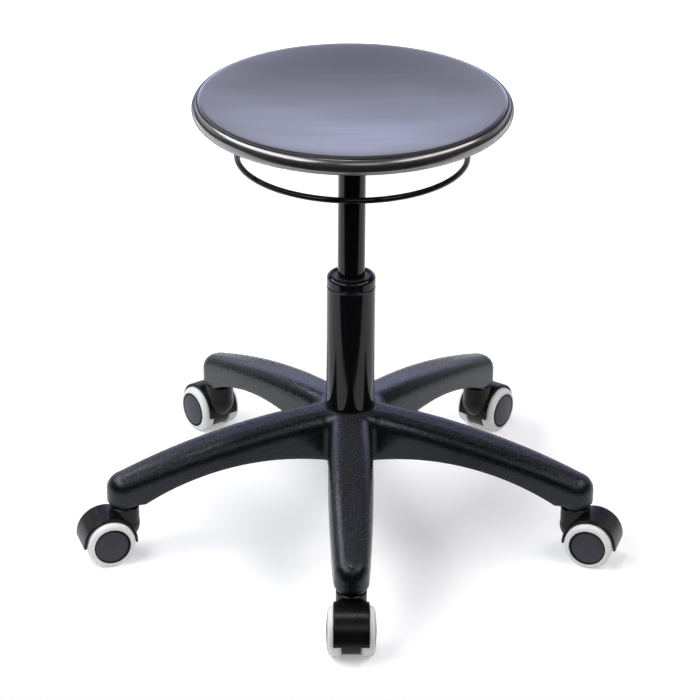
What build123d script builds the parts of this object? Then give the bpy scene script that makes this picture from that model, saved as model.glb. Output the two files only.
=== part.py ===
from build123d import *
import math
import os

# Rolling stool with a gas column. Millimetres, +Z up, origin on the floor under the column,
# and the front arm of the base points to -Y.

# Gaps between pieces
running_gap = 0.05
push_gap = 0.1
clear_gap = 0.3

# Seat pad and the board it is moulded on
seat_diameter = 320
seat_bottom_z = 461
seat_edge_radius = 9.6
seat_dish_depth = 4
seat_flat_radius = 95
crease_angle = 60
crease_half_angle = 5
crease_depth = 0.9
board_margin = 24
board_thickness = 8

# Pressed bracket under the board
bracket_sheet = 2.5
bracket_flange_radius = 86
bracket_mouth_radius = 58
bracket_floor_radius = 52
bracket_depth = 21
screw_circle_radius = 72
screw_count = 4
screw_radius = 3
screw_length = 9
screw_head_radius = 5.5
screw_head_height = 4

# Release ring, its spokes and the rocker plate
ring_radius = 115.5
ring_wire_diameter = 6
ring_drop = 42
spoke_level_length = 66
spoke_foot_length = 15.5
rocker_width = 44
rocker_front = 34
rocker_back = 24
rocker_thickness = 3
rocker_drop = 6
fulcrum_offset = 30
fulcrum_length = 40
spoke_slot_margin = 2
spoke_slot_floor = 1.5

# Gas cylinder and what it holds
stroke_reserve = 7
cylinder_diameter = 28
cylinder_wall = 1.8
cylinder_above_floor = 3.5
cylinder_taper_drop = 0.8
sleeve_length = 42
sleeve_wall = 4.8
rod_guide_length = 18
valve_length = 42
pin_radius = 4
pin_length = 40
pin_travel = 6

# Rod, piston and thrust bearing in the foot of the column
rod_radius = 5
journal_radius = 4
piston_length = 12
piston_lift = 2
seal_width = 3
seal_depth = 2
bump_stop_radius = 15
bump_stop_height = 16
bump_stop_waist = 2
washer_radius = 14
washer_thickness = 2.5
ball_radius = 2
ball_count = 8
ball_circle_radius = 9.5
cage_thickness = 1.6
cage_rim = 1.2
clip_radius = 7
clip_thickness = 1.5
clip_groove_depth = 0.8
clip_opening = 5
journal_tail = 2

# Column tube
column_diameter = 50
column_wall = 2
column_rise = 147
column_below_hub = 18
column_taper_drop = 1.2
rim_radius = 3.6
rim_lip = 2
crimp_below_top = 11
crimp_radius = 2.2
crimp_depth = 0.9
foot_lip_height = 2
foot_lip_width = 2.5
end_plate_thickness = 3
bush_length = 78
bush_recess = 1

# Five-armed base
arm_count = 5
front_arm_angle = -90
caster_circle_radius = 245
boss_radius = 17.5
boss_bottom_z = 61.4
foot_height = 4.8
foot_inset = 1.6
foot_round = 2.5
arm_root_half_width = 20.5
arm_tip_taper = 4.5
arm_valley_radius = 4
arm_edge_radius = 15
hub_top_z = 140
arm_top_share = 0.543
arm_top_middle_z = 125.5
arm_top_tip_z = 90
arm_under_hub_z = 85
arm_under_share = 0.437
arm_under_peak_z = 98
base_wall = 3.6
base_skin = 4.5
hub_sleeve_wall = 6
socket_radius = 5.8
socket_depth = 26
rib_thickness = 2.6
rib_bay_count = 4
rib_start_gap = 19
rib_end_gap = 5.5
top_face_limit = 45

# Casters
wheel_radius = 25
wheel_trail = 19
caster_width = 49.5
hood_width = 36
hood_wall = 2.4
hood_wheel_gap = 1.2
hood_side_round = 1.5
hood_edge_drop = 2
web_thickness = 19
web_radius = 23.4
wheel_side_gap = 0.6
neck_radius = 15.4
neck_top_gap = 1
neck_shoulder_z = 43
neck_tip_z = 23
neck_tip_radius = 8
neck_edge = 1.2
tread_depth = 5.8
tread_bead_radius = 5.2
tread_inner_edge = 1
cap_groove_width = 1.4
cap_dome = 1.3
cap_groove_depth = 3
core_web = 6
core_hub_radius = 6.5
core_rim_wall = 2.4
axle_radius = 3
axle_end_wall = 3
stem_radius = 5.5
stem_upper_radius = 5
stem_collar_radius = 8
stem_length_below = 24
stem_length_above = 24
grip_ring_length = 16
grip_ring_slit = 2
grip_ring_height = 4

# Values worked out from the sizes above
seat_radius = seat_diameter / 2
seat_edge_centre = seat_radius - seat_edge_radius
seat_edge_z = seat_bottom_z + seat_edge_radius
board_radius = seat_radius - board_margin
board_top_z = seat_bottom_z + board_thickness
bracket_floor_z = seat_bottom_z - bracket_depth
ring_z = seat_bottom_z - ring_drop
ring_wire_radius = ring_wire_diameter / 2
spoke_slope_end = ring_radius - spoke_foot_length
rocker_top_z = seat_bottom_z - rocker_drop
rocker_bottom_z = rocker_top_z - rocker_thickness
spoke_z = rocker_top_z - rocker_thickness / 2
pin_top_z = rocker_bottom_z - clear_gap
cylinder_radius = cylinder_diameter / 2
cylinder_bore = cylinder_radius - cylinder_wall
cylinder_top_z = bracket_floor_z + bracket_sheet + cylinder_above_floor
sleeve_bottom_z = cylinder_top_z - sleeve_length
sleeve_radius = cylinder_radius + push_gap + sleeve_wall
column_radius = column_diameter / 2
column_bore = column_radius - column_wall
column_top_z = hub_top_z + column_rise
column_foot_z = arm_under_hub_z - column_below_hub
stroke = sleeve_bottom_z - column_top_z - stroke_reserve
foot_bore = column_bore - column_taper_drop
end_plate_z = column_foot_z + foot_lip_height
bearing_z = end_plate_z + end_plate_thickness
upper_washer_z = bearing_z + washer_thickness + 2 * ball_radius + 2 * running_gap
bump_stop_z = upper_washer_z + washer_thickness
cylinder_foot_z = bump_stop_z + bump_stop_height + stroke + clear_gap
piston_z = cylinder_foot_z + rod_guide_length + piston_lift
rod_top_z = piston_z + piston_length
clip_z = end_plate_z - clear_gap - clip_thickness
hood_bore = wheel_radius + hood_wheel_gap
hood_radius = hood_bore + hood_wall
wheel_inner = web_thickness / 2 + wheel_side_gap
wheel_outer = caster_width / 2
neck_top_z = boss_bottom_z - neck_top_gap
tread_bore = wheel_radius - tread_depth
cap_radius = tread_bore - cap_groove_width
arm_reach = caster_circle_radius + boss_radius
arm_under_tip = (caster_circle_radius - boss_radius, boss_bottom_z + foot_height)
rib_start_radius = column_radius + hub_sleeve_wall + rib_start_gap
rib_end_radius = caster_circle_radius - boss_radius - rib_end_gap
arm_angles = [front_arm_angle + 360 / arm_count * i for i in range(arm_count)]
arm_names = ["front", "right", "back_right", "back_left", "left"]
diagonal = math.sqrt(0.5)


def turned(*curves):
    """Solid turned about Z from a closed half outline in radius and height."""
    return revolve(Plane.XZ * make_face(Curve() + list(curves)), Axis.Z)


def turned_points(*points):
    return turned(Polyline(*points, close=True))


def tube(outer, inner, bottom, top):
    return turned_points((inner, bottom), (outer, bottom), (outer, top), (inner, top))


def rod(radius, bottom, top):
    return Pos(0, 0, bottom) * Cylinder(radius, top - bottom, align=(Align.CENTER, Align.CENTER, Align.MIN))


def on_circle(shape, radius, count, first_angle=0):
    """Copies of a shape on a circle about Z."""
    step = 360 / count
    return [Rot(0, 0, first_angle + step * i) * Pos(radius, 0, 0) * shape for i in range(count)]


def at_arm(shape, angle):
    """Place a shape made at the origin on the caster pivot of one arm, with local X pointing outwards."""
    return Rot(0, 0, angle) * Pos(caster_circle_radius, 0, 0) * shape


# Base


def arm_plan(inset):
    """Outline of one arm from above, tapering to a round tip, drawn in by the inset."""
    tip = boss_radius - inset
    lean = math.radians(arm_tip_taper)
    side_x = caster_circle_radius + tip * math.sin(lean)
    side_y = tip * math.cos(lean)
    root = arm_root_half_width - inset
    left = TangentArc((side_x, side_y), (0, root), tangent=(-math.cos(lean), math.sin(lean)))
    right = TangentArc((side_x, -side_y), (0, -root), tangent=(-math.cos(lean), -math.sin(lean)))
    nose = ThreePointArc((side_x, side_y), (caster_circle_radius + tip, 0), (side_x, -side_y))
    return make_face(Curve() + [left, nose, right, Line((0, root), (0, -root))])


def star_plan(inset):
    """The five arms from above, with rounded valleys between them."""
    star = Sketch() + [Rot(0, 0, angle) * arm_plan(inset) for angle in arm_angles]
    valleys = star.vertices().group_by(lambda corner: round(math.hypot(corner.X, corner.Y)))[0]
    return fillet(valleys, arm_valley_radius + inset)


def arm_top(drop):
    """Arched line of the arm's top, from the middle of the hub to past the tip."""
    middle = (arm_top_share * caster_circle_radius, arm_top_middle_z - drop)
    return ThreePointArc((0, hub_top_z - drop), middle, (arm_reach, arm_top_tip_z - drop))


def round_top(body, radius):
    """Round the long edges between the top of the arms and their sides."""
    steepest = math.cos(math.radians(top_face_limit))
    top_faces = body.faces().filter_by(lambda face: face.normal_at().Z > steepest)
    return fillet(top_faces.edges().filter_by(lambda edge: edge.length > radius), radius)


def star_body(inset, drop, bottom_z):
    """Star-shaped block under the arched top line, with rounded upper edges."""
    block = Pos(0, 0, bottom_z) * extrude(star_plan(inset), hub_top_z - bottom_z)
    dome = turned(
        arm_top(drop),
        Polyline((arm_reach, arm_top_tip_z - drop), (arm_reach, bottom_z), (0, bottom_z),
                 (0, hub_top_z - drop)),
    )
    return round_top(block & dome, arm_edge_radius - inset)


def under_arch():
    """Space under the hub and the arms, up to the arched lower edge."""
    hub_edge = column_radius + hub_sleeve_wall
    peak = (arm_under_share * caster_circle_radius, arm_under_peak_z)
    return turned(
        Line((0, arm_under_hub_z), (hub_edge, arm_under_hub_z)),
        ThreePointArc((hub_edge, arm_under_hub_z), peak, arm_under_tip),
        Polyline(arm_under_tip, (arm_reach, arm_under_tip[1]), (arm_reach, 0), (0, 0), (0, arm_under_hub_z)),
    )


def arm_ribs():
    """Crossed ribs in the hollow of one arm."""
    bay = (rib_end_radius - rib_start_radius) / rib_bay_count
    width = 2 * arm_root_half_width
    slope = math.degrees(math.atan2(width, bay))
    rib = Pos(0, 0, hub_top_z / 2) * Box(math.hypot(bay, width), rib_thickness, hub_top_z)
    centres = [rib_start_radius + bay / 2 + bay * i for i in range(rib_bay_count)]
    return [Pos(x, 0, 0) * Rot(0, 0, turn) * rib for x in centres for turn in (slope, -slope)]


def tip_foot():
    """Round foot under an arm tip, a little smaller than the tip, with its lower edge rounded."""
    foot = rod(boss_radius - foot_inset, boss_bottom_z, boss_bottom_z + 2 * foot_height)
    return fillet(foot.edges().sort_by(Axis.Z)[0], foot_round)


def five_star_base():
    outside = star_body(0, 0, boss_bottom_z)
    hollow = star_body(base_wall, base_skin, boss_bottom_z)
    hollow -= rod(column_radius + hub_sleeve_wall, 0, hub_top_z)
    for angle in arm_angles:
        hollow -= at_arm(rod(boss_radius, 0, hub_top_z), angle)
        hollow -= [Rot(0, 0, angle) * rib for rib in arm_ribs()]
    base = outside - under_arch() + [at_arm(tip_foot(), angle) for angle in arm_angles] - hollow
    bore_taper = column_taper_drop / (hub_top_z - column_foot_z)
    upper_bore = column_radius + push_gap
    lower_bore = upper_bore - bore_taper * hub_top_z
    base -= turned_points((0, 0), (lower_bore, 0), (upper_bore, hub_top_z), (upper_bore, column_top_z),
                          (0, column_top_z))
    for angle in arm_angles:
        base -= at_arm(rod(socket_radius, 0, boss_bottom_z + socket_depth), angle)
    return base


# Column


def column_tube():
    """Standpipe with a tapered foot, a crimp groove and a rolled-in top rim."""
    foot = column_radius - column_taper_drop
    rim_z = column_top_z - rim_radius
    lip = column_radius - rim_radius - rim_lip
    inner_rim = rim_radius - column_wall
    crimp_z = column_top_z - crimp_below_top
    half_groove = math.sqrt(crimp_radius ** 2 - (crimp_radius - crimp_depth) ** 2)
    return turned(
        Polyline((foot - foot_lip_width, column_foot_z), (foot, column_foot_z), (column_radius, hub_top_z),
                 (column_radius, crimp_z - half_groove)),
        ThreePointArc((column_radius, crimp_z - half_groove), (column_radius - crimp_depth, crimp_z),
                      (column_radius, crimp_z + half_groove)),
        Line((column_radius, crimp_z + half_groove), (column_radius, rim_z)),
        ThreePointArc((column_radius, rim_z),
                      (column_radius - rim_radius * (1 - diagonal), rim_z + rim_radius * diagonal),
                      (column_radius - rim_radius, column_top_z)),
        Polyline((column_radius - rim_radius, column_top_z), (lip, column_top_z),
                 (lip, column_top_z - column_wall), (column_radius - rim_radius, column_top_z - column_wall)),
        ThreePointArc((column_radius - rim_radius, column_top_z - column_wall),
                      (column_radius - rim_radius + inner_rim * diagonal, rim_z + inner_rim * diagonal),
                      (column_bore, rim_z)),
        Polyline((column_bore, rim_z), (column_bore, hub_top_z), (foot_bore, end_plate_z),
                 (foot - foot_lip_width, end_plate_z), (foot - foot_lip_width, column_foot_z)),
    )


def guide_bush():
    """Sleeve in the top of the column, with a collar that fills the rolled rim."""
    bore = cylinder_radius + running_gap
    body = column_bore - push_gap
    collar = column_radius - rim_radius - rim_lip - push_gap
    shoulder_z = column_top_z - rim_radius - push_gap
    bottom_z = shoulder_z - bush_length
    collar_z = column_top_z - bush_recess
    return turned_points((bore, bottom_z), (body, bottom_z), (body, shoulder_z), (collar, shoulder_z),
                         (collar, collar_z), (bore, collar_z))


def column_end_plate():
    return tube(foot_bore - push_gap, journal_radius + running_gap, end_plate_z, bearing_z)


# Thrust bearing, rod and piston


def thrust_washer(bottom_z):
    return tube(washer_radius, journal_radius + push_gap, bottom_z, bottom_z + washer_thickness)


def bearing_ball_place():
    return bearing_z + washer_thickness + running_gap + ball_radius


def bearing_balls():
    ball = Pos(0, 0, bearing_ball_place()) * Sphere(ball_radius)
    return Compound(children=on_circle(ball, ball_circle_radius, ball_count))


def ball_cage():
    middle = bearing_ball_place()
    half = ball_radius + cage_rim
    ring = tube(ball_circle_radius + half, ball_circle_radius - half,
                middle - cage_thickness / 2, middle + cage_thickness / 2)
    pocket = rod(ball_radius + push_gap, middle - ball_radius, middle + ball_radius)
    return ring - on_circle(pocket, ball_circle_radius, ball_count)


def piston_rod():
    groove = journal_radius - clip_groove_depth
    groove_z = clip_z - running_gap
    groove_top_z = clip_z + clip_thickness + running_gap
    tail_z = clip_z - journal_tail
    return turned_points((0, tail_z), (journal_radius, tail_z), (journal_radius, groove_z),
                         (groove, groove_z), (groove, groove_top_z), (journal_radius, groove_top_z),
                         (journal_radius, bump_stop_z), (rod_radius, bump_stop_z), (rod_radius, piston_z),
                         (journal_radius, piston_z), (journal_radius, rod_top_z), (0, rod_top_z))


def rod_clip():
    ring = tube(clip_radius, journal_radius - clip_groove_depth + push_gap, clip_z, clip_z + clip_thickness)
    middle = clip_z + clip_thickness / 2
    mouth = Pos(clip_radius, 0, middle) * Box(2 * clip_radius, clip_opening, 2 * clip_thickness)
    return ring - mouth


def bump_stop():
    """Waisted rubber ring that the cylinder lands on."""
    top_z = bump_stop_z + bump_stop_height
    waist = (bump_stop_radius - bump_stop_waist, bump_stop_z + bump_stop_height / 2)
    bore = rod_radius + push_gap
    return turned(
        Line((bore, bump_stop_z), (bump_stop_radius, bump_stop_z)),
        ThreePointArc((bump_stop_radius, bump_stop_z), waist, (bump_stop_radius, top_z)),
        Polyline((bump_stop_radius, top_z), (bore, top_z), (bore, bump_stop_z)),
    )


def piston():
    outer = cylinder_bore - running_gap
    groove_z = piston_z + (piston_length - seal_width) / 2
    groove = outer - seal_depth
    bore = journal_radius + push_gap
    return turned_points((bore, piston_z), (outer, piston_z), (outer, groove_z), (groove, groove_z),
                         (groove, groove_z + seal_width), (outer, groove_z + seal_width),
                         (outer, rod_top_z), (bore, rod_top_z))


def piston_seal():
    outer = cylinder_bore - running_gap
    groove_z = piston_z + (piston_length - seal_width) / 2
    return tube(outer, outer - seal_depth + push_gap, groove_z + push_gap, groove_z + seal_width - push_gap)


# Gas cylinder, valve and sleeve


def gas_cylinder():
    """Tube whose upper end tapers to lock in the cone sleeve."""
    return turned_points((cylinder_bore, cylinder_foot_z), (cylinder_radius, cylinder_foot_z),
                         (cylinder_radius, sleeve_bottom_z),
                         (cylinder_radius - cylinder_taper_drop, cylinder_top_z),
                         (cylinder_bore, cylinder_top_z))


def rod_guide():
    outer = cylinder_bore - push_gap
    return tube(outer, rod_radius + running_gap, cylinder_foot_z, cylinder_foot_z + rod_guide_length)


def valve_block():
    bore = pin_radius + running_gap
    bottom_z = cylinder_top_z - valve_length
    bore_end = pin_top_z - pin_length - pin_travel
    return turned_points((0, bottom_z), (cylinder_bore - push_gap, bottom_z),
                         (cylinder_bore - push_gap, cylinder_top_z), (bore, cylinder_top_z),
                         (bore, bore_end), (0, bore_end))


def release_pin():
    neck_z = pin_top_z - pin_radius
    return rod(pin_radius, pin_top_z - pin_length, neck_z) + Pos(0, 0, neck_z) * Sphere(pin_radius)


def cone_sleeve():
    top_bore = cylinder_radius - cylinder_taper_drop + push_gap
    return turned_points((cylinder_radius + push_gap, sleeve_bottom_z), (sleeve_radius, sleeve_bottom_z),
                         (sleeve_radius, cylinder_top_z), (top_bore, cylinder_top_z))


# Seat


def seat_bracket():
    """Round pressed pan with a flange against the board and slots for the spokes."""
    floor_top = bracket_floor_z + bracket_sheet
    flange_z = seat_bottom_z - bracket_sheet
    pan = turned_points((sleeve_radius + push_gap, bracket_floor_z),
                        (bracket_floor_radius + bracket_sheet, bracket_floor_z),
                        (bracket_mouth_radius + bracket_sheet, flange_z), (bracket_flange_radius, flange_z),
                        (bracket_flange_radius, seat_bottom_z), (bracket_mouth_radius, seat_bottom_z),
                        (bracket_floor_radius, floor_top), (sleeve_radius + push_gap, floor_top))
    slot_width = ring_wire_diameter + 2 * spoke_slot_margin
    slot_bottom = floor_top + spoke_slot_floor
    slot_depth = 2 * (bracket_mouth_radius - bracket_floor_radius + bracket_sheet)
    slot_height = seat_bottom_z - slot_bottom
    slot = Box(slot_depth, slot_width, slot_height)
    for side in (-1, 1):
        pan -= Pos(side * bracket_mouth_radius, 0, slot_bottom + slot_height / 2) * slot
    hole = rod(screw_radius + push_gap, bracket_floor_z, seat_bottom_z + bracket_sheet)
    return pan - on_circle(hole, screw_circle_radius, screw_count, 180 / screw_count)


def seat_board():
    board = rod(board_radius, seat_bottom_z, board_top_z)
    hole = rod(screw_radius + push_gap, seat_bottom_z - bracket_sheet, board_top_z - push_gap)
    return board - on_circle(hole, screw_circle_radius, screw_count, 180 / screw_count)


def plate_screws():
    head_top = seat_bottom_z - bracket_sheet
    screw = rod(screw_head_radius, head_top - screw_head_height, head_top)
    screw += rod(screw_radius, head_top, head_top + screw_length)
    return Compound(children=on_circle(screw, screw_circle_radius, screw_count, 180 / screw_count))


def seat_pad():
    """Thin foam cushion: half-round edge, a crease inside the rim and a shallow dish."""

    def edge_point(angle, depth=0):
        reach = seat_edge_radius - depth
        return (seat_edge_centre + reach * math.cos(math.radians(angle)),
                seat_edge_z + reach * math.sin(math.radians(angle)))

    outer_angle = crease_angle - crease_half_angle
    inner_angle = crease_angle + crease_half_angle
    outer_lip = edge_point(outer_angle)
    inner_lip = edge_point(inner_angle)
    crest = edge_point(90)
    dish_z = crest[1] - seat_dish_depth
    recess = board_radius + clear_gap
    roof = board_top_z + clear_gap
    return turned(
        Line((recess, seat_bottom_z), edge_point(-90)),
        ThreePointArc(edge_point(-90), edge_point((outer_angle - 90) / 2), outer_lip),
        Polyline(outer_lip, edge_point(crease_angle, crease_depth), inner_lip),
        ThreePointArc(inner_lip, edge_point((inner_angle + 90) / 2), crest),
        Spline(crest, (seat_flat_radius, dish_z), tangents=((-1, 0), (-1, 0))),
        Polyline((seat_flat_radius, dish_z), (0, dish_z), (0, roof), (recess, roof), (recess, seat_bottom_z)),
    )


# Release ring and rocker


def release_ring():
    """Hoop of round wire with two cranked spokes welded to it."""
    hoop = Pos(0, 0, ring_z) * Torus(ring_radius, ring_wire_radius)
    bend = 2 * ring_wire_diameter
    path = FilletPolyline((rocker_width / 2, 0, spoke_z), (spoke_level_length, 0, spoke_z),
                          (spoke_slope_end, 0, ring_z), (ring_radius, 0, ring_z), radius=bend)
    spoke = sweep(Plane(origin=path @ 0, z_dir=path % 0) * Circle(ring_wire_radius), path)
    return hoop + spoke + Rot(0, 0, 180) * spoke


def rocker_plate():
    """Plate over the release pin, with a half-round ridge that it tips on."""
    length = rocker_front + rocker_back
    middle = (rocker_back - rocker_front) / 2
    plate = Pos(0, middle, rocker_top_z - rocker_thickness / 2) * Box(rocker_width, length, rocker_thickness)
    ridge_radius = (rocker_drop - clear_gap) / 2
    foot = Box(fulcrum_length, 2 * ridge_radius, ridge_radius)
    bar = Rot(0, 90, 0) * Cylinder(ridge_radius, fulcrum_length)
    fulcrum = Pos(0, -fulcrum_offset, rocker_top_z)
    return plate + fulcrum * Pos(0, 0, ridge_radius / 2) * foot + fulcrum * Pos(0, 0, ridge_radius) * bar


# Casters, made at the origin with the pivot on Z and the wheels trailing along X


def wheel_place(shape, side):
    """Turn a wheel part made along Z so that its outer face looks to one side of the caster."""
    return Pos(wheel_trail, 0, wheel_radius) * Rot(-90 * side, 0, 0) * shape


def caster_hood():
    """Hood over both wheels, with the web that carries the axle and the neck that turns on the stem."""
    axle = Pos(wheel_trail, 0, wheel_radius) * Rot(90, 0, 0)
    size = 2 * hood_radius
    upper = Pos(wheel_trail, 0, wheel_radius - hood_edge_drop) * Box(
        size, hood_width, size, align=(Align.CENTER, Align.CENTER, Align.MIN))
    drum = Cylinder(hood_radius, hood_width)
    hood = axle * fillet(drum.edges().filter_by(GeomType.CIRCLE), hood_side_round) & upper
    neck = turned(
        Polyline((0, neck_tip_z), (neck_tip_radius, neck_tip_z)),
        ThreePointArc((neck_tip_radius, neck_tip_z),
                      (neck_tip_radius + (neck_radius - neck_tip_radius) * diagonal,
                       neck_shoulder_z - (neck_shoulder_z - neck_tip_z) * diagonal),
                      (neck_radius, neck_shoulder_z)),
        Polyline((neck_radius, neck_shoulder_z), (neck_radius, neck_top_z - neck_edge),
                 (neck_radius - neck_edge, neck_top_z), (0, neck_top_z), (0, neck_tip_z)),
    )
    body = hood + neck
    pocket_depth = hood_width
    for side in (-1, 1):
        middle = side * (web_thickness / 2 + pocket_depth / 2)
        body -= Pos(0, middle, 0) * axle * Cylinder(hood_bore, pocket_depth)
    body += axle * Cylinder(web_radius, web_thickness)
    body -= axle * Cylinder(axle_radius + running_gap, 2 * hood_width)
    return body - rod(stem_radius + running_gap, neck_top_z - stem_length_below, 2 * neck_top_z)


def wheel_tread():
    """Soft white tyre with a rounded outer shoulder."""
    inner = wheel_inner + clear_gap
    outer = wheel_outer - cap_dome
    shoulder = outer - tread_bead_radius
    bead_inner = wheel_radius - tread_bead_radius
    quarter = tread_bead_radius * diagonal
    return turned(
        Polyline((tread_bore, outer), (tread_bore, inner), (wheel_radius - tread_inner_edge, inner),
                 (wheel_radius, inner + tread_inner_edge), (wheel_radius, shoulder)),
        ThreePointArc((wheel_radius, shoulder), (bead_inner + quarter, shoulder + quarter),
                      (bead_inner, outer)),
        Line((bead_inner, outer), (tread_bore, outer)),
    )


def wheel_core():
    """Moulded wheel body: hub, web and rim, closed outside by a domed face with a groove round it."""
    rim = tread_bore - push_gap
    bore = axle_radius + running_gap
    face = wheel_outer - cap_dome
    rim_top = face - cap_groove_depth
    web_z = face - core_web
    bore_end = face - axle_end_wall + running_gap
    dome_radius = (cap_radius ** 2 + cap_dome ** 2) / (2 * cap_dome)
    half_way = cap_radius / 2
    half_way_z = wheel_outer - dome_radius + math.sqrt(dome_radius ** 2 - half_way ** 2)
    return turned(
        Polyline((bore, wheel_inner), (core_hub_radius, wheel_inner), (core_hub_radius, web_z),
                 (rim - core_rim_wall, web_z), (rim - core_rim_wall, wheel_inner), (rim, wheel_inner),
                 (rim, rim_top), (cap_radius, rim_top), (cap_radius, face)),
        ThreePointArc((cap_radius, face), (half_way, half_way_z), (0, wheel_outer)),
        Polyline((0, wheel_outer), (0, bore_end), (bore, bore_end), (bore, wheel_inner)),
    )


def caster_axle():
    reach = wheel_outer - cap_dome - axle_end_wall
    return Pos(wheel_trail, 0, wheel_radius) * Rot(90, 0, 0) * Cylinder(axle_radius, 2 * reach)


def caster_stem():
    bottom = neck_top_z - stem_length_below + clear_gap
    collar = boss_bottom_z - neck_top_gap + clear_gap
    top = boss_bottom_z + stem_length_above
    return turned_points((0, bottom), (stem_radius, bottom), (stem_radius, collar),
                         (stem_collar_radius, collar), (stem_collar_radius, boss_bottom_z),
                         (stem_upper_radius, boss_bottom_z), (stem_upper_radius, top), (0, top))


def grip_ring():
    bottom = boss_bottom_z + grip_ring_height
    top = bottom + grip_ring_length
    ring = tube(socket_radius - running_gap, stem_upper_radius + running_gap, bottom, top)
    slit = Pos(socket_radius, 0, bottom + grip_ring_length / 2) * Box(
        2 * socket_radius, grip_ring_slit, 2 * grip_ring_length)
    return ring - slit


# Write every piece

pieces = {
    "five_star_base": five_star_base(),
    "column_tube": column_tube(),
    "column_end_plate": column_end_plate(),
    "guide_bush": guide_bush(),
    "caster_stems": Compound(children=[at_arm(caster_stem(), angle) for angle in arm_angles]),
    "stem_grip_rings": Compound(children=[at_arm(grip_ring(), angle) for angle in arm_angles]),
    "thrust_washer_lower": thrust_washer(bearing_z),
    "thrust_washer_upper": thrust_washer(upper_washer_z),
    "bearing_balls": bearing_balls(),
    "ball_cage": ball_cage(),
    "piston_rod": piston_rod(),
    "rod_clip": rod_clip(),
    "bump_stop": bump_stop(),
    "piston": piston(),
    "piston_seal": piston_seal(),
    "gas_cylinder": gas_cylinder(),
    "rod_guide": rod_guide(),
    "valve_block": valve_block(),
    "release_pin": release_pin(),
    "cone_sleeve": cone_sleeve(),
    "seat_bracket": seat_bracket(),
    "seat_board": seat_board(),
    "plate_screws": plate_screws(),
    "seat_pad": seat_pad(),
    "release_ring": release_ring(),
    "rocker_plate": rocker_plate(),
}
for arm_name, angle in zip(arm_names, arm_angles):
    pieces[f"{arm_name}_caster_hood"] = at_arm(caster_hood(), angle)
    pieces[f"{arm_name}_caster_axle"] = at_arm(caster_axle(), angle)
    for number, side in ((1, -1), (2, 1)):
        pieces[f"{arm_name}_wheel_{number}_core"] = at_arm(wheel_place(wheel_core(), side), angle)
        pieces[f"{arm_name}_wheel_{number}_tread"] = at_arm(wheel_place(wheel_tread(), side), angle)

os.makedirs("parts", exist_ok=True)
for piece_name, piece in pieces.items():
    export_step(piece, f"parts/{piece_name}.step")
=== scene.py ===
import math
import bmesh
import bpy
from mathutils import Matrix, Vector, noise


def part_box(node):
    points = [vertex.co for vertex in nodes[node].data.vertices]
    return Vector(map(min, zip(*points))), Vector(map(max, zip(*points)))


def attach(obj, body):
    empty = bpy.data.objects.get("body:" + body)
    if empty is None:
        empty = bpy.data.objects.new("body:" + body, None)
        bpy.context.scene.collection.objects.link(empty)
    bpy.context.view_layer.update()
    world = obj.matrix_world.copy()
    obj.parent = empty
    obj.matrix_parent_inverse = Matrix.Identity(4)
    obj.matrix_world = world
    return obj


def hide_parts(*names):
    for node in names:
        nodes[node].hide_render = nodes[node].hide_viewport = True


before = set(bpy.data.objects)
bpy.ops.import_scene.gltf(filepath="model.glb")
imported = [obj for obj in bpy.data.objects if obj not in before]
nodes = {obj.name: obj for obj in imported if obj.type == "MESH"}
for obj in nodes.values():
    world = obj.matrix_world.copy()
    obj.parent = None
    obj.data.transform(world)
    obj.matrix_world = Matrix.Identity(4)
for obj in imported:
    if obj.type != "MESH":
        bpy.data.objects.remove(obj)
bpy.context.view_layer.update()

# Five-armed base: black glass-filled nylon, moulded in one piece with a coarse spark-eroded grain.
# The column is pushed into its hub, and the casters into the round feet under the tips of the arms.
# Its upward faces are painted lighter: a painted top light, standing in for light falling on them from
# above.


class Tone:
    """A socket of a shader tree that can be used in sums, as a number can."""

    def __init__(self, tree, socket=None):
        self.tree = tree
        self.socket = socket

    def node(self, kind, settings=None, inputs=None, output=0):
        """Add a node: its settings first, then the values or links of its sockets."""
        made = self.tree.nodes.new(kind)
        for name, value in (settings or {}).items():
            setattr(made, name, value)
        for name, value in (inputs or {}).items():
            if isinstance(value, Tone):
                self.tree.links.new(value.socket, made.inputs[name])
            else:
                made.inputs[name].default_value = value
        return Tone(self.tree, made.outputs[output])

    def math(self, operation, first, second=0.0):
        return self.node("ShaderNodeMath", {"operation": operation}, {0: first, 1: second})

    def __add__(self, other):
        return self.math("ADD", self, other)

    def __radd__(self, other):
        return self.math("ADD", other, self)

    def __sub__(self, other):
        return self.math("SUBTRACT", self, other)

    def __rsub__(self, other):
        return self.math("SUBTRACT", other, self)

    def __mul__(self, other):
        return self.math("MULTIPLY", self, other)

    def __rmul__(self, other):
        return self.math("MULTIPLY", other, self)

    def between(self, low, high):
        """0 below low, 1 above high, smooth between."""
        return self.node("ShaderNodeMapRange", {"interpolation_type": "SMOOTHSTEP"},
                         {"Value": self, "From Min": low, "From Max": high})

    def mix(self, first, second):
        """From the first colour to the second as this value goes from 0 to 1."""
        ends = [end if isinstance(end, Tone) else (*end, 1.0) for end in (first, second)]
        return self.node("ShaderNodeMix", {"data_type": "RGBA"}, {0: self, 6: ends[0], 7: ends[1]}, 2)

    def noise(self, scale, detail=2.0):
        """Cloudy pattern at this place, with so many cells to the metre."""
        return self.node("ShaderNodeTexNoise", {}, {"Vector": self, "Scale": scale, "Detail": detail})


def new_finish(name):
    """A material with its tree, the places on the piece and its shader."""
    material = bpy.data.materials.new(name)
    material.use_nodes = True
    tree = Tone(material.node_tree)
    place = tree.node("ShaderNodeTexCoord", output="Object")
    return material, tree, place, material.node_tree.nodes["Principled BSDF"]


def feed(shader, **sockets):
    """Set or link sockets of a shader, whose names are written with underscores."""
    for name, value in sockets.items():
        socket = shader.inputs[name.replace("_", " ")]
        if isinstance(value, Tone):
            value.tree.links.new(value.socket, socket)
        else:
            socket.default_value = value


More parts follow.
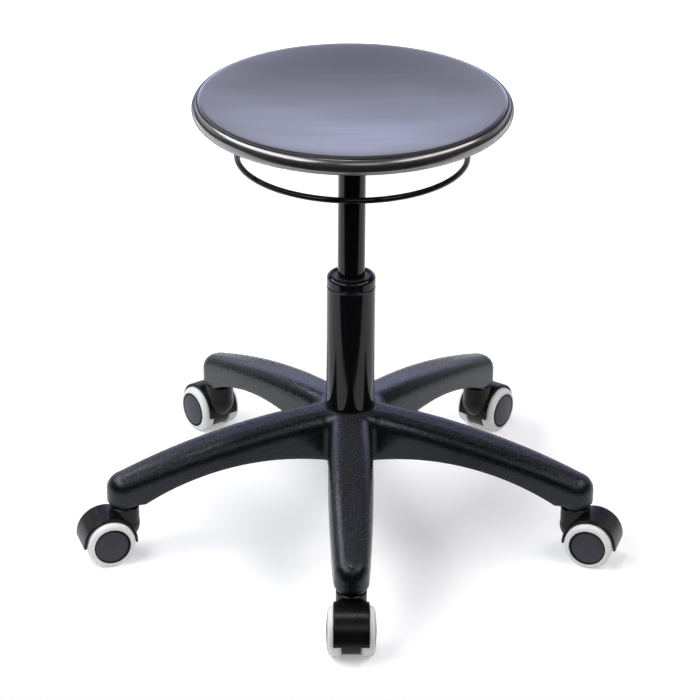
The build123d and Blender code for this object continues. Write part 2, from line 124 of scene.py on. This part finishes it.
def rounded_edge(tree, radius):
    """Normal of a surface whose sharp edges are rounded to this radius."""
    return tree.node("ShaderNodeBevel", {"samples": 4}, {"Radius": radius})


def relief(tree, height, depth, edge=0.0):
    """Normal of a surface with this height map, depth and edge rounding in metres."""
    inputs = {"Height": height, "Distance": depth, "Strength": 1.0}
    if edge:
        inputs["Normal"] = rounded_edge(tree, edge)
    return tree.node("ShaderNodeBump", {}, inputs)


def edge_wear(tree, radius):
    """1 on rubbed edges and 0 on open faces."""
    rounded = rounded_edge(tree, radius)
    normal = tree.node("ShaderNodeNewGeometry", output="Normal")
    along = tree.node("ShaderNodeVectorMath", {"operation": "DOT_PRODUCT"}, {0: rounded, 1: normal}, "Value")
    return (1.0 - along).between(0.02, 0.25)


def dress(material, *names):
    """Give a finish to CAD nodes."""
    for name in names:
        nodes[name].data.materials.clear()
        nodes[name].data.materials.append(material)


def base_nylon():
    material, tree, place, shader = new_finish("base_nylon")
    grain = place.noise(480.0, 2.0).between(0.34, 0.66)
    fine = place.noise(1800.0, 2.0)
    cloud = place.noise(12.0, 4.0)
    scuff = place.noise(70.0, 6.0).between(0.56, 0.74)
    wear = edge_wear(tree, 0.0012)
    normal = tree.node("ShaderNodeNewGeometry", output="Normal")
    # Painted top light: faces that look upward get a lighter colour mixed in, as if lit from above.
    top_light_mask = tree.node("ShaderNodeSeparateXYZ", {}, {"Vector": normal}, "Z").between(0.78, 0.96)
    skin = grain.mix((0.0035, 0.0036, 0.0042), (0.0085, 0.0088, 0.0102))
    painted_top_light = grain.mix((0.014, 0.0145, 0.0175), (0.027, 0.028, 0.034))
    feed(shader,
         Base_Color=(0.4 * wear).mix(top_light_mask.mix(skin, painted_top_light), (0.04, 0.041, 0.045)),
         Roughness=0.19 + 0.05 * cloud + 0.06 * grain - 0.04 * scuff,
         Specular_IOR_Level=0.36,
         Specular_Tint=(0.82, 0.88, 1.0, 1.0),
         Normal=relief(tree, grain + 0.5 * fine, 0.00008, 0.006))
    return material


dress(base_nylon(), "five_star_base")

# Column: a drawn steel tube in gloss black enamel, with a rolled rim and a crimp groove near its top.
# Its tapered foot is wedged in the hub, and a plastic bush inside it guides the slimmer gas cylinder.


def gloss_enamel():
    material, tree, place, shader = new_finish("gloss_enamel")
    orange_peel = place.noise(500.0, 1.0)
    haze = place.noise(35.0, 4.0)
    dust = place.noise(900.0, 2.0).between(0.68, 0.8)
    skin = haze.mix((0.003, 0.003, 0.0035), (0.006, 0.006, 0.007))
    feed(shader,
         Base_Color=(0.5 * dust).mix(skin, (0.03, 0.03, 0.03)),
         Roughness=0.07 + 0.05 * haze,
         Specular_IOR_Level=0.3,
         Normal=relief(tree, orange_peel, 0.000012, 0.0006))
    return material


def bush_acetal():
    material, tree, place, shader = new_finish("bush_acetal")
    scuff = place.noise(300.0, 4.0)
    feed(shader,
         Base_Color=scuff.mix((0.012, 0.012, 0.013), (0.03, 0.03, 0.03)),
         Roughness=0.3 + 0.15 * scuff,
         Normal=relief(tree, scuff, 0.00003, 0.0004))
    return material


enamel = gloss_enamel()
dress(enamel, "column_tube", "gas_cylinder")
dress(bush_acetal(), "guide_bush", "rod_guide")

# Works inside the column: a ground steel rod with its clip and end plate, a ball thrust bearing in a
# brass cage, an alloy piston and valve block, and black rubber for the piston seal and the bump stop.


def ground_steel():
    material, tree, place, shader = new_finish("ground_steel")
    scratch = place.noise(900.0, 4.0)
    stain = place.noise(45.0, 4.0)
    feed(shader,
         Base_Color=stain.mix((0.36, 0.36, 0.37), (0.58, 0.58, 0.58)),
         Metallic=1.0,
         Roughness=0.22 + 0.2 * scratch,
         Normal=relief(tree, scratch, 0.00001, 0.0003))
    return material


def machined_alloy():
    material, tree, place, shader = new_finish("machined_alloy")
    cut = tree.node("ShaderNodeTexWave", {"wave_type": "BANDS", "bands_direction": "Z"},
                    {"Vector": place, "Scale": 500.0, "Distortion": 0.6})
    feed(shader,
         Base_Color=cut.mix((0.55, 0.55, 0.56), (0.72, 0.72, 0.73)),
         Metallic=1.0,
         Roughness=0.3 + 0.12 * cut,
         Normal=relief(tree, cut, 0.00001, 0.0003))
    return material


def stamped_brass():
    material, tree, place, shader = new_finish("stamped_brass")
    tarnish = place.noise(250.0, 4.0)
    feed(shader,
         Base_Color=tarnish.mix((0.45, 0.3, 0.1), (0.72, 0.52, 0.24)),
         Metallic=1.0,
         Roughness=0.25 + 0.2 * tarnish,
         Normal=relief(tree, tarnish, 0.00001, 0.0002))
    return material


def seal_rubber():
    material, tree, place, shader = new_finish("seal_rubber")
    bloom = place.noise(200.0, 3.0)
    feed(shader,
         Base_Color=bloom.mix((0.002, 0.002, 0.002), (0.006, 0.006, 0.006)),
         Roughness=0.5 + 0.2 * bloom,
         Specular_IOR_Level=0.15,
         Normal=relief(tree, bloom, 0.00005, 0.0004))
    return material


steel = ground_steel()
dress(steel, "piston_rod", "rod_clip", "column_end_plate", "thrust_washer_lower", "thrust_washer_upper",
      "bearing_balls", "release_pin", "caster_stems", "stem_grip_rings")
dress(machined_alloy(), "piston", "valve_block")
dress(stamped_brass(), "ball_cage")
rubber = seal_rubber()
dress(rubber, "bump_stop", "piston_seal")

# Casters: a black nylon hood, neck and web in one moulding turn on a steel stem under each arm.
# Two dark grey nylon wheel bodies run on a steel axle, each in a soft white tread that marks no floor.
# A narrow black ring in the rubber finish sits in the outer face of each wheel, round its domed disc: a
# painted shadow of the groove there.

CASTERS = ["front", "right", "back_right", "back_left", "left"]
CAP_DOME = 0.0013
BAND_INNER = 0.0171
BAND_OUTER = 0.0191
BAND_DEPTH = 0.0015
BAND_RISE = 0.0003
BAND_SPOKES = 72


def hood_nylon():
    material, tree, place, shader = new_finish("hood_nylon")
    grain = place.noise(1500.0, 2.0)
    cloud = place.noise(40.0, 4.0)
    wear = edge_wear(tree, 0.0006)
    skin = cloud.mix((0.003, 0.003, 0.0033), (0.006, 0.0058, 0.006))
    feed(shader,
         Base_Color=(0.4 * wear).mix(skin, (0.03, 0.03, 0.032)),
         Roughness=0.22 + 0.12 * cloud,
         Specular_IOR_Level=0.2,
         Normal=relief(tree, grain, 0.00006, 0.0008))
    return material


def wheel_nylon():
    material, tree, place, shader = new_finish("wheel_nylon")
    grain = place.noise(1300.0, 3.0)
    cloud = place.noise(60.0, 4.0)
    # Painted shade: where the face is hemmed in, as in the groove round the disc, the colour goes to
    # near-black.
    painted_shade_ao = tree.node("ShaderNodeAmbientOcclusion", {"samples": 8}, {"Distance": 0.004}, "AO")
    skin = cloud.mix((0.026, 0.0255, 0.036), (0.039, 0.038, 0.052))
    feed(shader,
         Base_Color=painted_shade_ao.between(0.45, 0.9).mix((0.0015, 0.0015, 0.0015), skin),
         Roughness=0.32 + 0.1 * cloud,
         Specular_IOR_Level=0.3,
         Normal=relief(tree, grain, 0.0001, 0.0005))
    return material


def white_tread():
    material, tree, place, shader = new_finish("white_tread")
    dust = place.noise(90.0, 5.0).between(0.5, 0.78)
    grain = place.noise(1500.0, 2.0)
    feed(shader,
         Base_Color=dust.mix((0.88, 0.88, 0.87), (0.82, 0.82, 0.81)),
         Roughness=0.48 + 0.15 * dust,
         Normal=relief(tree, grain, 0.00003, 0.0006))
    return material


def place_along(centre, axis):
    """Placing at a centre, with its Z axis along an axis."""
    return Matrix.Translation(centre) @ Vector(axis).to_track_quat("Z", "Y").to_matrix().to_4x4()


def finished(name, mesh):
    """Object made from a mesh, with its faces looking outwards."""
    bmesh.ops.recalc_face_normals(mesh, faces=mesh.faces)
    data = bpy.data.meshes.new(name)
    mesh.to_mesh(data)
    mesh.free()
    piece = bpy.data.objects.new(name, data)
    bpy.context.scene.collection.objects.link(piece)
    return piece


def spun(name, outline, spokes, placing, hexagon=()):
    """Piece turned about the Z axis of a placing from a half outline, with six-sided rows where asked."""
    mesh = bmesh.new()
    rings = []
    for row, (radius, height) in enumerate(outline):
        corners = []
        for spoke in range(spokes if radius > 0 else 1):
            turn = 2 * math.pi * spoke / spokes
            reach = radius
            if row in hexagon:
                reach = radius / math.cos(turn % (math.pi / 3) - math.pi / 6)
            local = Vector((reach * math.cos(turn), reach * math.sin(turn), height))
            corners.append(mesh.verts.new(placing @ local))
        rings.append(corners)
    for lower, upper in zip(rings, rings[1:]):
        for spoke in range(spokes):
            after = (spoke + 1) % spokes
            loop = [lower[spoke % len(lower)], lower[after % len(lower)],
                    upper[after % len(upper)], upper[spoke % len(upper)]]
            mesh.faces.new(list(dict.fromkeys(loop))).smooth = True
    return finished(name, mesh)


def fit(piece, material, body):
    """Give a piece its finish and fix it to a moving body."""
    piece.data.materials.append(material)
    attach(piece, body)


hood = hood_nylon()
core = wheel_nylon()
tread = white_tread()
for caster in CASTERS:
    dress(hood, f"{caster}_caster_hood")
    dress(steel, f"{caster}_caster_axle")
    centres = []
    for wheel in (f"{caster}_wheel_1", f"{caster}_wheel_2"):
        dress(core, f"{wheel}_core")
        dress(tread, f"{wheel}_tread")
        wheel_low, wheel_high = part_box(f"{wheel}_core")
        centres.append((wheel_low + wheel_high) / 2)
    # Painted shadow: a thin black ring is set in each wheel face round the disc, where the groove holds only
    # shade.
    for number in (0, 1):
        wheel = f"{caster}_wheel_{number + 1}"
        axis = (centres[number] - centres[1 - number]).normalized()
        disc = nodes[f"{wheel}_core"]
        face = max(axis.dot(disc.matrix_world @ corner.co - centres[number])
                   for corner in disc.data.vertices)
        top = face - CAP_DOME + BAND_RISE
        foot = top - BAND_DEPTH
        outline = [(BAND_INNER, foot), (BAND_OUTER, foot), (BAND_OUTER, top), (BAND_INNER, top),
                   (BAND_INNER, foot)]
        groove_shadow_band = spun(f"{wheel}_band", outline, BAND_SPOKES, place_along(centres[number], axis))
        fit(groove_shadow_band, rubber, wheel)

# Seat bracket: a steel pan with a cone sleeve welded into its floor, in semi-matt black powder coat.
# Four socket screws hold its flange to the plywood board that the cushion is moulded on.

SLEEVE_BEAD = 0.0018
RIPPLE_PITCH = 0.0016
RIPPLE_SHARE = 0.12
RIPPLE_STEPS = 4
BEAD_CORNERS = 10
FLANGE_SHEET = 0.0025
SCREW_HEAD = 0.0055
SCREW_SHANK = 0.003
SCREW_SPOKES = 36
SCREW_SOCKET = 0.0025
SOCKET_DEPTH = 0.002
SOCKET_FLARE = 0.0006
FLARE_DEPTH = 0.0002
SOCKET_ROWS = (1, 2)
HEAD_EDGE = [(0.0012, 0), (0.0003, 0.0006), (0, 0.0016)]  # inset from the side, rise from the face


def powder_coat():
    material, tree, place, shader = new_finish("powder_coat")
    peel = place.noise(900.0, 2.0)
    cloud = place.noise(25.0, 3.0)
    feed(shader,
         Base_Color=cloud.mix((0.004, 0.004, 0.0045), (0.008, 0.008, 0.0085)),
         Roughness=0.24 + 0.1 * cloud,
         Specular_IOR_Level=0.35,
         Normal=relief(tree, peel, 0.00004, 0.0006))
    return material


def plywood():
    material, tree, place, shader = new_finish("plywood")
    drawn = tree.node("ShaderNodeVectorMath", {"operation": "MULTIPLY"}, {0: place, 1: (18.0, 260.0, 60.0)})
    grain = drawn.noise(1.0, 5.0)
    feed(shader,
         Base_Color=grain.mix((0.3, 0.19, 0.095), (0.52, 0.37, 0.21)),
         Roughness=0.55 + 0.2 * grain,
         Normal=relief(tree, grain, 0.00005, 0.0005))
    return material


def zinc_plate():
    material, tree, place, shader = new_finish("zinc_plate")
    spangle = place.noise(500.0, 4.0)
    feed(shader,
         Base_Color=spangle.mix((0.3, 0.3, 0.31), (0.5, 0.5, 0.49)),
         Metallic=1.0,
         Roughness=0.28 + 0.16 * spangle,
         Normal=relief(tree, spangle, 0.00001))
    return material


def weld_bead(name, placing, radius, thickness):
    """Rippled ring of weld metal about the Z axis of a placing."""
    ripples = round(2 * math.pi * radius / RIPPLE_PITCH)
    around = ripples * RIPPLE_STEPS
    mesh = bmesh.new()
    rings = []
    for step in range(around):
        turn = 2 * math.pi * step / around
        girth = thickness * (1 - RIPPLE_SHARE + RIPPLE_SHARE * math.cos(ripples * turn))
        ring = []
        for corner in range(BEAD_CORNERS):
            angle = 2 * math.pi * corner / BEAD_CORNERS
            reach = radius + girth * math.cos(angle)
            local = Vector((reach * math.cos(turn), reach * math.sin(turn), girth * math.sin(angle)))
            ring.append(mesh.verts.new(placing @ local))
        rings.append(ring)
    for step in range(around):
        ring, following = rings[step], rings[(step + 1) % around]
        for corner in range(BEAD_CORNERS):
            after = (corner + 1) % BEAD_CORNERS
            mesh.faces.new((ring[corner], following[corner], following[after], ring[after])).smooth = True
    return finished(name, mesh)


coat = powder_coat()
dress(coat, "seat_bracket", "cone_sleeve", "rocker_plate")
dress(plywood(), "seat_board")

sleeve_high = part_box("cone_sleeve")[1]
bracket_low, bracket_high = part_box("seat_bracket")
sleeve_foot = place_along((0, 0, bracket_low.z), (0, 0, 1))
sleeve_weld = weld_bead("sleeve_weld", sleeve_foot, sleeve_high.x, SLEEVE_BEAD)
fit(sleeve_weld, coat, "seat")

screws_low, screws_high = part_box("plate_screws")
flange_z = bracket_high.z - FLANGE_SHEET
head_z = screws_low.z
socket_side = [(0, head_z + SOCKET_DEPTH), (SCREW_SOCKET, head_z + SOCKET_DEPTH),
               (SCREW_SOCKET, head_z + FLARE_DEPTH), (SCREW_SOCKET + SOCKET_FLARE, head_z)]
head_side = [(SCREW_HEAD - inset, head_z + rise) for inset, rise in HEAD_EDGE]
shank_side = [(SCREW_HEAD, flange_z), (SCREW_SHANK, flange_z), (SCREW_SHANK, screws_high.z),
              (0, screws_high.z)]
screw_outline = socket_side + head_side + shank_side
zinc = zinc_plate()
screw_reach = screws_high.x - SCREW_HEAD
for number, (side, end) in enumerate([(1, 1), (-1, 1), (-1, -1), (1, -1)], 1):
    spot = place_along((side * screw_reach, end * screw_reach, 0), (0, 0, 1))
    screw = spun(f"plate_screw_{number}", screw_outline, SCREW_SPOKES, spot, SOCKET_ROWS)
    fit(screw, zinc, "seat")
    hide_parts("plate_screws")

# Release ring: a hoop of round steel wire under the seat, in the same gloss black enamel as the column.
# Two cranked spokes are welded to the hoop, pass through slots in the pan and carry the rocker plate.

WIRE_RADIUS = 0.003
HOOP_BEAD = 0.0011
ring_low, ring_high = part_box("release_ring")
hoop_radius = ring_high.x - WIRE_RADIUS
hoop_z = ring_low.z + WIRE_RADIUS
dress(enamel, "release_ring")
for side, name in ((-1, "left_hoop_weld"), (1, "right_hoop_weld")):
    joint = place_along((side * (hoop_radius - WIRE_RADIUS), 0, hoop_z), (1, 0, 0))
    bead = weld_bead(name, joint, WIRE_RADIUS, HOOP_BEAD)
    fit(bead, enamel, "release")

# Seat cushion: black polyurethane foam moulded over the board, with a tough satin skin of its own.
# The edge is a half round, a fine crease runs inside the rim and the middle is a shallow dish.
# Seen along its face, the skin's fine texture breaks up the gloss.

pad_low, pad_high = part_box("seat_pad")
board_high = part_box("seat_board")[1]
PAD_RADIUS = (pad_high.x - pad_low.x) / 2
PAD_EDGE = (pad_high.z - pad_low.z) / 2
PAD_SPOKES = 288
PAD_DISH = 0.004
DISH_FALL = 1.3
DISH_STEPS = 60
RIM_STEPS = 120
CREASE_TURN = math.radians(60)
CREASE_SPREAD = math.radians(6)
CREASE_DEPTH = 0.0016
CREASE_TAPER = 1.5
BOARD_GAP = 0.0003
LIP = 0.0008
SLACK_DEPTH = 0.00016
SLACK_WAVES = 16.0
SLACK_FADE = 6.0


def pad_outline():
    """Half outline of the cushion: the recess for the board, round the rim, then the dish to the middle."""
    centre = PAD_RADIUS - PAD_EDGE
    middle = pad_low.z + PAD_EDGE
    recess = board_high.x + BOARD_GAP
    roof = board_high.z + BOARD_GAP
    outline = [(0, roof), (recess / 2, roof), (recess - LIP, roof), (recess, roof - LIP),
               (recess, pad_low.z + LIP), (recess + LIP, pad_low.z)]
    for step in range(RIM_STEPS + 1):
        turn = math.pi * (step / RIM_STEPS - 0.5)
        notch = max(0.0, 1.0 - abs(turn - CREASE_TURN) / CREASE_SPREAD)
        reach = PAD_EDGE - CREASE_DEPTH * notch ** CREASE_TAPER
        outline.append((centre + reach * math.cos(turn), middle + reach * math.sin(turn)))
    for step in range(1, DISH_STEPS + 1):
        share = 1 - step / DISH_STEPS
        outline.append((centre * share, pad_high.z - PAD_DISH * (1 - share * share) ** DISH_FALL))
    return outline


def foam_skin():
    material, tree, place, shader = new_finish("foam_skin")
    pore = place.noise(240.0, 2.0)
    cloud = place.noise(9.0, 5.0)
    drawn = tree.node("ShaderNodeVectorMath", {"operation": "MULTIPLY"}, {0: place, 1: (9.0, 75.0, 1.0)})
    streak = drawn.noise(1.0, 4.0).between(0.3, 0.7)
    flat = tree.node("ShaderNodeVectorMath", {"operation": "MULTIPLY"}, {0: place, 1: (1.0, 1.0, 0.0)})
    radius = tree.node("ShaderNodeVectorMath", {"operation": "LENGTH"}, {0: flat}, "Value")
    # Painted shade: along the crease the colour is painted near-black. The coat also thins there, and the
    # skin gets rougher.
    crease_radius = PAD_RADIUS - PAD_EDGE + (PAD_EDGE - CREASE_DEPTH) * math.cos(CREASE_TURN)
    crease = 1.0 - tree.math("ABSOLUTE", radius - crease_radius).between(0.0003, 0.0011)
    grazing = tree.node("ShaderNodeLayerWeight", {}, {"Blend": 0.5}, "Facing").between(0.72, 0.83)
    skin = (0.5 * cloud + 0.5 * streak).mix((0.008, 0.008, 0.009), (0.036, 0.026, 0.025))
    feed(shader,
         Base_Color=crease.mix(skin, (0.001, 0.001, 0.001)),
         Roughness=0.29 + 0.04 * cloud + 0.03 * streak + 0.03 * pore + 0.2 * crease + 0.3 * grazing,
         Specular_IOR_Level=0.7,
         Coat_Weight=(1.0 - 0.7 * crease - 0.18 * streak) * (1.0 - 0.85 * grazing),
         Coat_Roughness=0.2,
         Coat_IOR=2.05)
    return material


pad = spun("moulded_seat_pad", pad_outline(), PAD_SPOKES, place_along((0, 0, 0), (0, 0, 1)))
for corner in pad.data.vertices:
    inside = 1 - math.hypot(corner.co.x, corner.co.y) / (PAD_RADIUS - PAD_EDGE)
    if inside > 0 and corner.co.z > pad_low.z + PAD_EDGE:
        corner.co.z += SLACK_DEPTH * min(1.0, SLACK_FADE * inside) * noise.noise(corner.co * SLACK_WAVES)
fit(pad, foam_skin(), "seat")
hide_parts("seat_pad")

# Studio: a sheet of white paper that ends a little in front of the stool, with the dark room beyond it.
# Soft boxes light the stool from the left, right, top, back and front, and a cool lit wall from behind.
# The backdrop is white to the camera, and a white band of it shows in reflections.

PAPER_FRONT = -0.34
PAPER_BACK = 4.0
PAPER_HALF = 2.5
PAPER_LIFT = (0.34, 0.34, 0.34)
PAPER_WHITE = (1.0, 1.0, 1.0)
DARK_ROOM = (0.025, 0.025, 0.03)
LAMP_AIM = (0.0, 0.0, 0.4)


def seen_ray(tree):
    """1 for what the camera sees, straight or in a reflection."""
    camera_ray = tree.node("ShaderNodeLightPath", output="Is Camera Ray")
    glossy_ray = tree.node("ShaderNodeLightPath", output="Is Glossy Ray")
    clear_ray = tree.node("ShaderNodeLightPath", output="Is Transmission Ray")
    return tree.math("MAXIMUM", camera_ray, tree.math("MAXIMUM", glossy_ray, clear_ray))


def white_paper():
    material, tree, place, shader = new_finish("white_paper")
    mottle = place.noise(3.0, 3.0)
    far = tree.node("ShaderNodeVectorMath", {"operation": "LENGTH"}, {0: place}, "Value").between(0.7, 1.7)
    glow = far.mix(PAPER_LIFT, PAPER_WHITE)
    feed(shader,
         Base_Color=mottle.mix((0.83, 0.83, 0.83), (0.86, 0.86, 0.86)),
         Roughness=0.9,
         Specular_IOR_Level=0.0,
         Emission_Color=seen_ray(tree).mix((0.0, 0.0, 0.0), glow),
         Emission_Strength=1.0)
    under = tree.node("ShaderNodeNewGeometry", output="Backfacing")
    clear = tree.node("ShaderNodeBsdfTransparent")
    paper = Tone(tree.tree, shader.outputs[0])
    sheet = tree.node("ShaderNodeMixShader", {}, {0: under, 1: paper, 2: clear})
    tree.tree.links.new(sheet.socket, tree.tree.nodes["Material Output"].inputs["Surface"])
    return material


floor_data = bpy.data.meshes.new("studio_floor")
floor_data.from_pydata([(-PAPER_HALF, PAPER_FRONT, 0), (PAPER_HALF, PAPER_FRONT, 0),
                        (PAPER_HALF, PAPER_BACK, 0), (-PAPER_HALF, PAPER_BACK, 0)], [], [(0, 1, 2, 3)])
floor_data.materials.append(white_paper())
floor = bpy.data.objects.new("studio_floor", floor_data)
bpy.context.scene.collection.objects.link(floor)


def soft_box(name, place, size, brightness, tint):
    """A soft light turned towards the stool; brightness 1 looks as bright as white paper."""
    lamp = bpy.data.lights.new(name, "AREA")
    lamp.shape = "RECTANGLE"
    lamp.size, lamp.size_y = size
    lamp.energy = brightness * size[0] * size[1] * math.pi
    lamp.color = tint
    box = bpy.data.objects.new(name, lamp)
    box.location = place
    box.rotation_euler = (Vector(LAMP_AIM) - Vector(place)).to_track_quat("-Z", "Y").to_euler()
    box.visible_camera = False
    bpy.context.scene.collection.objects.link(box)


soft_box("left_soft_box", (-1.3, -0.45, 1.8), (2.4, 0.7), 7.0, (0.97, 0.98, 1.0))
soft_box("right_soft_box", (1.3, -0.45, 1.8), (2.2, 0.5), 6.2, (1.0, 0.96, 0.96))
soft_box("top_soft_box", (-0.2, -0.1, 2.7), (0.42, 0.33), 28.0, (0.94, 0.97, 1.0))
soft_box("back_soft_box", (-1.5, 1.2, 1.9), (0.9, 0.4), 12.0, (0.9, 0.94, 1.0))
soft_box("front_soft_box", (0.3, -2.3, 2.0), (1.2, 0.8), 2.3, (0.97, 0.98, 1.0))
soft_box("lit_wall", (0.0, 2.4, 1.0), (3.4, 0.6), 1.6, (0.44, 0.51, 1.0))

world = bpy.data.worlds.new("studio_surround")
bpy.context.scene.world = world
world.use_nodes = True
room = Tone(world.node_tree)
way = room.node("ShaderNodeTexCoord", output="Generated")
depth = room.node("ShaderNodeSeparateXYZ", {}, {"Vector": way}, "Y")
height = room.node("ShaderNodeSeparateXYZ", {}, {"Vector": way}, "Z")
backdrop = depth.between(0.1, 0.6) * height.between(0.1, 0.2) * (1.0 - height.between(0.24, 0.5))
camera_ray = room.node("ShaderNodeLightPath", output="Is Camera Ray")
seen = room.math("MAXIMUM", camera_ray, backdrop * seen_ray(room))
feed(world.node_tree.nodes["Background"], Color=seen.mix(DARK_ROOM, PAPER_WHITE))

# Camera: a long lens well in front of the stool, above the seat and looking down at its column.
# Its place, turn and lens were worked out from the outlines of the seat, the tubes and the wheels.

EYE = (-0.0301, -2.6891, 1.5445)
PITCH = 0.46352
YAW = 0.01096
ROLL = 0.0083
LENS = 149.57
SENSOR = 36.0
camera_data = bpy.data.cameras.new("camera")
camera_data.lens = LENS
camera_data.sensor_width = SENSOR
camera = bpy.data.objects.new("camera", camera_data)
camera.location = EYE
camera.rotation_euler = (Matrix.Rotation(-YAW, 3, "Z") @ Matrix.Rotation(math.pi / 2 - PITCH, 3, "X")
                         @ Matrix.Rotation(ROLL, 3, "Z")).to_euler()
bpy.context.scene.collection.objects.link(camera)
bpy.context.scene.camera = camera
bpy.context.scene.view_settings.view_transform = "Standard"
